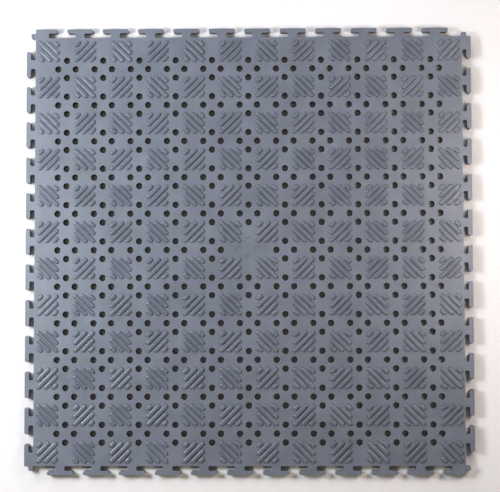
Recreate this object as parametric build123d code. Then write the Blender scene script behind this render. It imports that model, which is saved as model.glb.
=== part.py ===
from build123d import *
import math
import os

# Interlocking drainage tile for floors, moulded in one piece from PVC. It lies flat with its top up.
# The origin is at the middle of the underside, with Z up and Y towards the tile's far side.
# The outline repeats every quarter turn and has no mirror line, so any side fits any side of the
# next tile.

# Driving dimensions, in millimetres
laid_pitch = 500.0  # from the middle of one laid tile to the middle of the next
thickness = 10.0
tabs_per_side = 12  # the first of them is half a tab, flush with the corner
tab_reach = 10.2  # from the edge of the body to the outside of a tab's head
neck_width = 10.2
fit_clearance = 0.3  # left all round a tab between the next tile's tabs
head_outer_chamfer = 1.8
head_inner_chamfer = 3.0  # along the side, from the head's end to its flat underside
pads_per_side = 12  # flat squares of the top, with a cluster of holes at each inner crossing
pad_pitch = 125 / 3  # a twelfth of the laid pitch, so the pads carry on across joined tiles
hole_diameter = 7.3
hole_offset = 10.0  # from the middle of a cluster to each of its holes
holes_per_cluster = 4
hole_sides = 6  # each round hole is drawn with few sides and its true area

# Sizes that follow from them
tab_zone = tab_reach + fit_clearance  # width of the joint between two tiles' bodies
body_side = laid_pitch - tab_zone
tab_pitch = body_side / tabs_per_side
head_width = tab_pitch - neck_width - 2 * fit_clearance
head_depth = (tab_reach - fit_clearance) / 2
slot_depth = head_depth + fit_clearance
head_tip = slot_depth + head_depth / 2
nub_size = (tab_zone - fit_clearance) / 2  # a quarter of the corner that four tiles share
hole_corner_radius = hole_diameter / 2 * math.sqrt(
    2 * math.pi / (hole_sides * math.sin(2 * math.pi / hole_sides))
)


def half_tab(direction):
    """Points of half a T tab about its middle, from its root outwards, as (along, outwards)."""
    corners = [
        (neck_width / 2, 0),
        (neck_width / 2, slot_depth),
        (head_width / 2 - head_inner_chamfer, slot_depth),
        (head_width / 2, head_tip),
        (head_width / 2 - head_outer_chamfer, tab_reach),
    ]
    return [(direction * along, outwards) for along, outwards in corners]


def far_side():
    """Points of the far side of the outline, left to right, as (along from the left corner, outwards)."""
    corner_nub = [(0, 0), (-nub_size, 0), (-nub_size, nub_size), (0, nub_size), (0, tab_reach)]
    middles = [(index + 1 / 4) * tab_pitch for index in range(tabs_per_side)]
    points = corner_nub
    for index, middle in enumerate(middles):
        rising = half_tab(-1) if index else []
        falling = half_tab(1)[::-1]
        points += [(middle + along, outwards) for along, outwards in rising + falling]
    return points


def outline():
    """The whole outline: the far side and its three quarter turns, clockwise from above."""
    side = [Vector(along - body_side / 2, body_side / 2 + outwards) for along, outwards in far_side()]
    turned = [point.rotate(Axis.Z, -90 * quarter) for quarter in range(4) for point in side]
    return Polyline(turned, close=True)


def cluster_places():
    """Middles of the hole clusters. The one at the tile's middle, where the mould is fed, is closed."""
    count = pads_per_side - 1
    places = GridLocations(pad_pitch, pad_pitch, count, count)
    return [place for place in places if place.position.length > pad_pitch / 2]


def plan():
    """The tile's plan: its outline with the drain holes cut out."""
    with BuildSketch() as sketch:
        with BuildLine():
            add(outline())
        make_face()
        with Locations(cluster_places()):
            with PolarLocations(hole_offset, holes_per_cluster):
                RegularPolygon(hole_corner_radius, hole_sides, mode=Mode.SUBTRACT)
    return sketch.sketch


floor_tile = extrude(plan(), thickness)

os.makedirs("parts", exist_ok=True)
export_step(floor_tile, "parts/floor_tile.step")
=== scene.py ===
import math

import bpy
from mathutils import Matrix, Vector
from mathutils.geometry import delaunay_2d_cdt


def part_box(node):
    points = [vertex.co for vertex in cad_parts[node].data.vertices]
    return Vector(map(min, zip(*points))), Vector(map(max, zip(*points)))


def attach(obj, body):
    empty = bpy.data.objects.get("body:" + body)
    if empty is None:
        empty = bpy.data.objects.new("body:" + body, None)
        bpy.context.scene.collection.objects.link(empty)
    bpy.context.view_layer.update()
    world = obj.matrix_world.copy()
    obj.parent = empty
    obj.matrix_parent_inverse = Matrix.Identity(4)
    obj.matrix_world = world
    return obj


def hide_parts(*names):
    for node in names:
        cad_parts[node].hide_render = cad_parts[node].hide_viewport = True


# Interlocking PVC floor tile, flat on a pale floor under soft studio light. Lengths are in metres.
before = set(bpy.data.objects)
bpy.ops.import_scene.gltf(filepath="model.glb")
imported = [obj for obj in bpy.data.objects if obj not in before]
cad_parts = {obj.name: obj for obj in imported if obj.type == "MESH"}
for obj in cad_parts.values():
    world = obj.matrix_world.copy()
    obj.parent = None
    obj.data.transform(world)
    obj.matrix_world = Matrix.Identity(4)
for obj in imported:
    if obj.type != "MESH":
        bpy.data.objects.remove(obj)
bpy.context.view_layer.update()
low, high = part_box("floor_tile")

# Plan of the tile
LAID_PITCH = 0.500
TABS_PER_SIDE = 12  # the first of them is half a tab, flush with the corner
TAB_REACH = 0.0102
NECK_WIDTH = 0.0102
FIT_CLEARANCE = 0.0003
PADS_PER_SIDE = 12
HOLE_DIAMETER = 0.0073
HOLE_OFFSET = 0.0100  # from the middle of a cluster to each of its holes
THICKNESS = high.z
BODY_SIDE = high.x - low.x - 2 * TAB_REACH
TAB_PITCH = BODY_SIDE / TABS_PER_SIDE
HEAD_WIDTH = TAB_PITCH - NECK_WIDTH - 2 * FIT_CLEARANCE
SLOT_DEPTH = (TAB_REACH - FIT_CLEARANCE) / 2 + FIT_CLEARANCE
NUB_SIZE = TAB_REACH / 2
PAD_PITCH = LAID_PITCH / PADS_PER_SIDE

# Corner radii of the plan
HEAD_OUTER_RADIUS = 0.0019
HEAD_INNER_RADIUS = 0.0027
SLOT_END_RADIUS = 0.0017
SHARP_RADIUS = 0.0005
ARC_STEPS = 4

# Rounded edges of the top and of the underside
OUTLINE_RIM = 0.0004
HOLE_RIM = 0.0004
UNDER_RIM = 0.0003
HOLE_SIDES = 20

# Closed places of the middle cluster
BLIND_DIAMETER = 0.0076
BLIND_DEPTH = 0.0005

# Raised bars, whose profile is given as (inset, share of the height, tilt in degrees)
BARS_PER_PAD = 5
BAR_WIDTH = 0.0050
BAR_HEIGHT = 0.0018
BAR_REACH = 0.0100  # from the middle of a pad to the ends of its bars, along X and along Y
BAR_STEP = 0.00875
BAR_END_STEPS = 6
BAR_PROFILE = ((0.00140, 1, 87), (0.00075, 0.88, 55), (0.00035, 0.50, 20), (0, 0, 15))

# Look of the PVC
CLEAN_DARKER = (0.084, 0.093, 0.113, 1)
CLEAN_LIGHTER = (0.108, 0.118, 0.143, 1)
# Painted shade: a near-black colour round the feet of the raised bars, where shade falls in the gaps
# between them
PAINTED_FOOT_SHADE = (0.012, 0.013, 0.015, 1)
# Painted shade: a dark warm brown on the walls of the drain holes, where shade falls inside them
PAINTED_BORE_SHADE = (0.045, 0.033, 0.025, 1)
# Heights at which the painted shade round the bars' feet thins out and ends
FOOT_SHADE_THINS, FOOT_SHADE_ENDS = 0.4, 0.7  # shares of a bar's height
GLOSS_STARTS = 0.5  # share of a bar's height
CROWN_ROUGHNESS = 0.25
FLAT_MARGIN = 0.00005  # height above the flats up to which a place still counts as flat
EDGE_MARGIN = 0.005  # from the body's edge inwards to where the painted shade of the drain holes may start

# Camera
CAMERA_PLACE = (0.0237, -0.0857, 1.6058)
CAMERA_TURN = (3.228, 0.804, -0.116)  # in degrees
FOCAL_LENGTH = 101.0  # in millimetres
SENSOR_WIDTH = 36  # in millimetres


class Skin:
    """One closed surface, built up as faces with a normal for each of their corners."""

    def __init__(self):
        self.points = []
        self.faces = []
        self.normals = []

    def add_face(self, corners, normals):
        self.faces.append(tuple(corners))
        self.normals.extend(normals)

    def add_flat(self, corners, facing):
        """A level face. Facing is 1 for up and -1 for down."""
        self.add_face(corners, [(0, 0, facing)] * len(corners))

    def sweep(self, ring, profile):
        """Bands round a ring of (point, outward normal), down a profile of (inset, height, tilt).

        The material is on the ring's left. Tilt is the angle of the surface's normal above level.
        Returns the vertex numbers of each step of the profile.
        """
        rows = []
        slants = []
        for inset, height, tilt in profile:
            first = len(self.points)
            self.points += [(x - inset * nx, y - inset * ny, height) for (x, y), (nx, ny) in ring]
            rows.append(list(range(first, len(self.points))))
            level, rise = math.cos(tilt), math.sin(tilt)
            slants.append([(level * nx, level * ny, rise) for _, (nx, ny) in ring])
        for upper, lower, upper_slant, lower_slant in zip(rows, rows[1:], slants, slants[1:]):
            for here in range(-1, len(ring) - 1):
                there = here + 1
                self.add_face(
                    (upper[here], lower[here], lower[there], upper[there]),
                    (upper_slant[here], lower_slant[here], lower_slant[there], upper_slant[there]),
                )
        return rows

    def add_cap(self, outer, inner, facing):
        """Level triangles between an outer loop and the convex loops inside it."""
        numbers, owners, edges = [], [], []
        for owner, loop in enumerate([outer] + inner):
            first = len(numbers)
            numbers += loop
            owners += [owner] * len(loop)
            edges += [(first + k, first + (k + 1) % len(loop)) for k in range(len(loop))]
        places = [Vector(self.points[number][:2]) * 1000 for number in numbers]
        found, _, triangles, *_ = delaunay_2d_cdt(places, edges, [], 1, 1e-6)
        if len(found) != len(places):
            raise ValueError("loops of a cap touch each other")
        for triangle in triangles:
            owning = {owners[corner] for corner in triangle}
            within_inner_loop = len(owning) == 1 and 0 not in owning
            if not within_inner_loop:
                self.add_flat([numbers[corner] for corner in triangle][::facing], facing)

    def mesh(self, name):
        mesh = bpy.data.meshes.new(name)
        mesh.from_pydata(self.points, [], self.faces)
        mesh.polygons.foreach_set("use_smooth", [True] * len(self.faces))
        mesh.normals_split_custom_set(self.normals)
        return mesh


def fillet(radius, height, steps, upwards=True):
    """Profile that rounds an edge at a height: from the level face down to the wall, or back."""
    side = 1 if upwards else -1
    profile = []
    for step in range(steps + 1):
        tilt = math.pi / 2 * (1 - step / steps)
        inset = radius * (1 - math.cos(tilt))
        drop = radius * (1 - math.sin(tilt))
        profile.append((inset, height - side * drop, side * tilt))
    return profile if upwards else profile[::-1]


def rounded_ring(corners):
    """Points and outward normals of an outline with its corners rounded.

    The corners are (x, y, radius), with the material on their left.
    """
    ring = []
    for index, (x, y, radius) in enumerate(corners):
        corner = Vector((x, y))
        following = corners[(index + 1) % len(corners)]
        arriving = (corner - Vector(corners[index - 1][:2])).normalized()
        leaving = (Vector(following[:2]) - corner).normalized()
        turn = math.atan2(arriving.cross(leaving), arriving.dot(leaving))
        bulge = math.copysign(radius, turn)
        facing = math.atan2(-arriving.x, arriving.y)
        start = corner - arriving * radius * math.tan(abs(turn) / 2)
        centre = start - bulge * Vector((math.cos(facing), math.sin(facing)))
        for step in range(ARC_STEPS + 1):
            angle = facing + turn * step / ARC_STEPS
            normal = Vector((math.cos(angle), math.sin(angle)))
            ring.append((centre + bulge * normal, normal))
    return ring


def half_tab():
    """Corners of half a T tab about its middle, from its root on, as (along, outwards, radius)."""
    return [
        (NECK_WIDTH / 2, 0, SLOT_END_RADIUS),
        (NECK_WIDTH / 2, SLOT_DEPTH, SLOT_END_RADIUS),
        (HEAD_WIDTH / 2, SLOT_DEPTH, HEAD_INNER_RADIUS),
        (HEAD_WIDTH / 2, TAB_REACH, HEAD_OUTER_RADIUS),
    ]


def side_corners():
    """Corners of one side of the outline, from its nub on, as (along, outwards, radius)."""
    corners = [
        (0, 0, SHARP_RADIUS),
        (-NUB_SIZE, 0, SHARP_RADIUS),
        (-NUB_SIZE, NUB_SIZE, SHARP_RADIUS),
        (0, NUB_SIZE, SHARP_RADIUS),
        (0, TAB_REACH, SHARP_RADIUS),
    ]
    for tab in range(TABS_PER_SIDE):
        middle = (tab + 1 / 4) * TAB_PITCH
        rising = half_tab() if tab else []
        falling = half_tab()[::-1]
        corners += [(middle - along, outwards, radius) for along, outwards, radius in rising]
        corners += [(middle + along, outwards, radius) for along, outwards, radius in falling]
    return corners


def outline_ring():
    """The whole outline, counter-clockwise from above."""
    corners = []
    for along, outwards, radius in side_corners():
        corners.append((along - BODY_SIDE / 2, BODY_SIDE / 2 + outwards, radius))
    whole = list(corners)
    for _ in range(3):
        corners = [(y, -x, radius) for x, y, radius in corners]
        whole += corners
    return rounded_ring(whole[::-1])


def hole_ring(x, y, diameter):
    """A round hole's edge, clockwise from above, so that the material is on its left."""
    ring = []
    for side in range(HOLE_SIDES):
        angle = -2 * math.pi * side / HOLE_SIDES
        outwards = Vector((math.cos(angle), math.sin(angle)))
        ring.append((Vector((x, y)) + outwards * diameter / 2, -outwards))
    return ring


def bar_ring(start, end):
    """The foot of a raised bar with round ends, counter-clockwise from above."""
    along = end - start
    ring = []
    for place, ahead in ((start, -along), (end, along)):
        facing = math.atan2(ahead.y, ahead.x)
        for step in range(BAR_END_STEPS + 1):
            angle = facing - math.pi / 2 + math.pi * step / BAR_END_STEPS
            outwards = Vector((math.cos(angle), math.sin(angle)))
            ring.append((place + outwards * BAR_WIDTH / 2, outwards))
    return ring


def pad_bars(column, row):
    """Feet of the slanting bars of a pad. The slant changes from each pad to the next."""
    middle = Vector((column, row)) * PAD_PITCH
    lean = -1 if (column + row) % 2 else 1
    rings = []
    for order in range(BARS_PER_PAD):
        shift = BAR_STEP * (order - BARS_PER_PAD // 2)
        start = Vector((-BAR_REACH + max(shift, 0), BAR_REACH + min(shift, 0)))
        end = Vector((BAR_REACH + min(shift, 0), -BAR_REACH + max(shift, 0)))
        start.x *= lean
        end.x *= lean
        rings.append(bar_ring(middle + start, middle + end))
    return rings


def on_bar(share):
    """Height of the place at that share of a raised bar's height."""
    return THICKNESS + share * BAR_HEIGHT


def add_outline(skin):
    """The outer wall. Returns its loops in the top and in the underside."""
    upper_edge = fillet(OUTLINE_RIM, THICKNESS, steps=3)
    lower_edge = fillet(UNDER_RIM, 0, steps=1, upwards=False)
    rows = skin.sweep(outline_ring(), upper_edge + lower_edge)
    return rows[0], rows[-1]


def add_holes(skin):
    """The drain holes and the closed places. Returns their loops in the top and in the underside."""
    bore = fillet(HOLE_RIM, THICKNESS, steps=2) + [(0, 0, 0)]
    recess = fillet(BLIND_DEPTH, THICKNESS, steps=2)
    top, underside = [], []
    reach = PADS_PER_SIDE // 2 - 1
    for column in range(-reach, reach + 1):
        for row in range(-reach, reach + 1):
            for dx, dy in ((1, 0), (0, 1), (-1, 0), (0, -1)):
                x = column * PAD_PITCH + dx * HOLE_OFFSET
                y = row * PAD_PITCH + dy * HOLE_OFFSET
                if column or row:
                    rows = skin.sweep(hole_ring(x, y, HOLE_DIAMETER), bore)
                    underside.append(rows[-1])
                else:
                    rows = skin.sweep(hole_ring(x, y, BLIND_DIAMETER), recess)
                    skin.add_flat(rows[-1][::-1], 1)
                top.append(rows[0])
    return top, underside


def add_bars(skin):
    """The raised bars of all pads. Returns the loops of their feet."""
    dome = [(inset, on_bar(share), math.radians(tilt)) for inset, share, tilt in BAR_PROFILE]
    middle = (PADS_PER_SIDE - 1) / 2
    feet = []
    for column in range(PADS_PER_SIDE):
        for row in range(PADS_PER_SIDE):
            for ring in pad_bars(column - middle, row - middle):
                rows = skin.sweep(ring, dome)
                skin.add_flat(rows[0], 1)
                feet.append(rows[-1])
    return feet


def tile_mesh():
    skin = Skin()
    outline_top, outline_under = add_outline(skin)
    holes_top, holes_under = add_holes(skin)
    bar_feet = add_bars(skin)
    skin.add_cap(outline_top, holes_top + bar_feet, 1)
    skin.add_cap(outline_under, holes_under, -1)
    return skin.mesh("tile")


def new_material(name):
    material = bpy.data.materials.new(name)
    material.use_nodes = True
    return material, material.node_tree, material.node_tree.nodes["Principled BSDF"]


def noise(tree, coordinates, scale, detail):
    node = tree.nodes.new("ShaderNodeTexNoise")
    node.inputs["Scale"].default_value = scale
    node.inputs["Detail"].default_value = detail
    tree.links.new(coordinates, node.inputs["Vector"])
    return node.outputs["Fac"]


def mapped(tree, value, low_in, high_in, low_out, high_out):
    """The value, stretched from the one range to the other and kept within it."""
    node = tree.nodes.new("ShaderNodeMapRange")
    node.inputs["From Min"].default_value = low_in
    node.inputs["From Max"].default_value = high_in
    node.inputs["To Min"].default_value = low_out
    node.inputs["To Max"].default_value = high_out
    tree.links.new(value, node.inputs["Value"])
    return node.outputs["Result"]


def blotches(tree, coordinates, scale, detail, lowest, highest):
    """Noise between two values. The plain noise hardly leaves the range from 0.3 to 0.7."""
    return mapped(tree, noise(tree, coordinates, scale, detail), 0.3, 0.7, lowest, highest)


def calculated(tree, operation, *values):
    node = tree.nodes.new("ShaderNodeMath")
    node.operation = operation
    for value, socket in zip(values, node.inputs):
        tree.links.new(value, socket)
    return node.outputs["Value"]


def mixed(tree, kind, factor, start, end):
    """A mix of that kind (RGBA or FLOAT). Start and end are each a node's output or a value."""
    node = tree.nodes.new("ShaderNodeMix")
    node.data_type = kind
    tree.links.new(factor, node.inputs[0])
    sockets = {socket.name: socket for socket in node.inputs if socket.enabled}
    for name, value in (("A", start), ("B", end)):
        if isinstance(value, bpy.types.NodeSocket):
            tree.links.new(value, sockets[name])
        else:
            sockets[name].default_value = value
    return next(socket for socket in node.outputs if socket.enabled)


def bump(tree, height, distance):
    node = tree.nodes.new("ShaderNodeBump")
    node.inputs["Strength"].default_value = 0.2
    node.inputs["Distance"].default_value = distance
    tree.links.new(height, node.inputs["Height"])
    return node


def foot_shade_mask(tree, place):
    """Where painted shade goes: 1 round the feet of the raised bars, where shade falls, and 0 on
    their crowns and on the rest of the tile.
    """
    flat, begun = THICKNESS + FLAT_MARGIN, THICKNESS + 3 * FLAT_MARGIN
    above_flat = mapped(tree, place["Z"], flat, begun, 0, 1)
    below_crown = mapped(tree, place["Z"], on_bar(FOOT_SHADE_THINS), on_bar(FOOT_SHADE_ENDS), 1, 0)
    return calculated(tree, "MULTIPLY", above_flat, below_crown)


def bore_shade_mask(tree, place):
    """Where painted shade goes: 1 on the walls of the drain holes, and 0 on the rest of the tile,
    closed places included.
    """
    full, none = THICKNESS - 2 * BLIND_DEPTH, THICKNESS - 1.5 * BLIND_DEPTH
    below_rim = mapped(tree, place["Z"], full, none, 1, 0)
    above_underside = mapped(tree, place["Z"], 0, UNDER_RIM, 0, 1)
    wall = calculated(tree, "MULTIPLY", below_rim, above_underside)
    across = [calculated(tree, "ABSOLUTE", place[axis]) for axis in "XY"]
    from_middle = calculated(tree, "MAXIMUM", *across)
    full, none = BODY_SIDE / 2 - 2 * EDGE_MARGIN, BODY_SIDE / 2 - EDGE_MARGIN
    within_edge = mapped(tree, from_middle, full, none, 1, 0)
    return calculated(tree, "MULTIPLY", wall, within_edge)


def pvc_material():
    """Satin bluish grey PVC, faintly mottled, with broad waves and the fine grain of its mould.

    The raised bars have glossier crowns and painted shade round their feet. The drain holes have
    painted shade on their walls too.
    """
    material, tree, shader = new_material("pvc")
    coordinates = tree.nodes.new("ShaderNodeTexCoord").outputs["Object"]
    split = tree.nodes.new("ShaderNodeSeparateXYZ")
    tree.links.new(coordinates, split.inputs["Vector"])
    place = split.outputs

    mottle = blotches(tree, coordinates, scale=35, detail=5, lowest=0, highest=1)
    clean = mixed(tree, "RGBA", mottle, CLEAN_DARKER, CLEAN_LIGHTER)
    # Painted shade: a near-black colour round the feet of the bars, where shade falls
    shaded_feet = mixed(tree, "RGBA", foot_shade_mask(tree, place), clean, PAINTED_FOOT_SHADE)
    # Painted shade: a dark warm brown on the walls of the drain holes
    color = mixed(tree, "RGBA", bore_shade_mask(tree, place), shaded_feet, PAINTED_BORE_SHADE)
    tree.links.new(color, shader.inputs["Base Color"])

    satin = blotches(tree, coordinates, scale=60, detail=4, lowest=0.38, highest=0.52)
    crown = mapped(tree, place["Z"], on_bar(GLOSS_STARTS), on_bar(1), 0, 1)
    roughness = mixed(tree, "FLOAT", crown, satin, CROWN_ROUGHNESS)
    tree.links.new(roughness, shader.inputs["Roughness"])
    shader.inputs["Specular IOR Level"].default_value = 0.8

    waves = bump(tree, noise(tree, coordinates, scale=45, detail=2), distance=0.0014)
    grain = bump(tree, noise(tree, coordinates, scale=700, detail=3), distance=0.0002)
    tree.links.new(waves.outputs["Normal"], grain.inputs["Normal"])
    tree.links.new(grain.outputs["Normal"], shader.inputs["Normal"])
    return material


def floor_material():
    material, _, shader = new_material("floor")
    shader.inputs["Base Color"].default_value = (0.64, 0.605, 0.58, 1)
    shader.inputs["Roughness"].default_value = 0.8
    return material


def add_floor():
    reach = 4.0
    corners = [(-reach, -reach, 0), (reach, -reach, 0), (reach, reach, 0), (-reach, reach, 0)]
    mesh = bpy.data.meshes.new("floor")
    mesh.from_pydata(corners, [], [(0, 1, 2, 3)])
    mesh.materials.append(floor_material())
    floor = bpy.data.objects.new("floor", mesh)
    bpy.context.scene.collection.objects.link(floor)


def add_softbox(name, place, power, color):
    """A square soft light aimed at the tile's middle."""
    light = bpy.data.lights.new(name, "AREA")
    light.shape = "SQUARE"
    light.size = 0.22
    light.energy = power
    light.color = color
    softbox = bpy.data.objects.new(name, light)
    softbox.location = place
    softbox.rotation_euler = (-Vector(place)).to_track_quat("-Z", "Y").to_euler()
    bpy.context.scene.collection.objects.link(softbox)


def light_studio():
    """Bluish light from the left and the far side, and weaker light from all round, in a dim room."""
    world = bpy.data.worlds.new("studio")
    world.use_nodes = True
    backdrop = world.node_tree.nodes["Background"]
    backdrop.inputs["Color"].default_value = (1.0, 0.98, 0.96, 1)
    backdrop.inputs["Strength"].default_value = 0.1
    bpy.context.scene.world = world
    add_softbox("key", (-0.65, 0.05, 0.65), 8.1, (0.84, 0.92, 1.0))
    add_softbox("key_low", (-1.0, 0, 0.5), 1.2, (1.0, 0.6, 0.6))
    add_softbox("key_near", (-0.42, 0, 0.4), 0.4, (0.84, 0.92, 1.0))
    add_softbox("key_far", (-0.65, 0.3, 0.65), 2.4, (0.8, 0.88, 1.0))
    add_softbox("far", (0, 0.75, 0.35), 2.2, (0.91, 0.93, 1.0))
    add_softbox("far_left", (-0.6, 0.7, 0.5), 2.6, (0.83, 0.88, 1.0))
    add_softbox("right", (0.42, 0.05, 0.4), 1.9, (1.0, 0.93, 0.93))
    add_softbox("right_far", (0.42, 0.3, 0.4), 0.4, (1.0, 0.98, 0.93))
    add_softbox("near", (0, -0.75, 0.35), 1.2, (1.0, 0.9, 0.75))
    add_softbox("overhead", (0, 0.1, 1.75), 0.3, (1.0, 0.97, 0.95))


def add_camera():
    data = bpy.data.cameras.new("camera")
    data.sensor_width = SENSOR_WIDTH
    data.lens = FOCAL_LENGTH
    camera = bpy.data.objects.new("camera", data)
    camera.location = CAMERA_PLACE
    camera.rotation_euler = [math.radians(angle) for angle in CAMERA_TURN]
    bpy.context.scene.collection.objects.link(camera)
    bpy.context.scene.camera = camera


tile = bpy.data.objects.new("tile", tile_mesh())
tile.data.materials.append(pvc_material())
bpy.context.scene.collection.objects.link(tile)
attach(tile, "root")
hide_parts("floor_tile")

add_floor()
light_studio()
add_camera()
bpy.context.scene.view_settings.view_transform = "Standard"
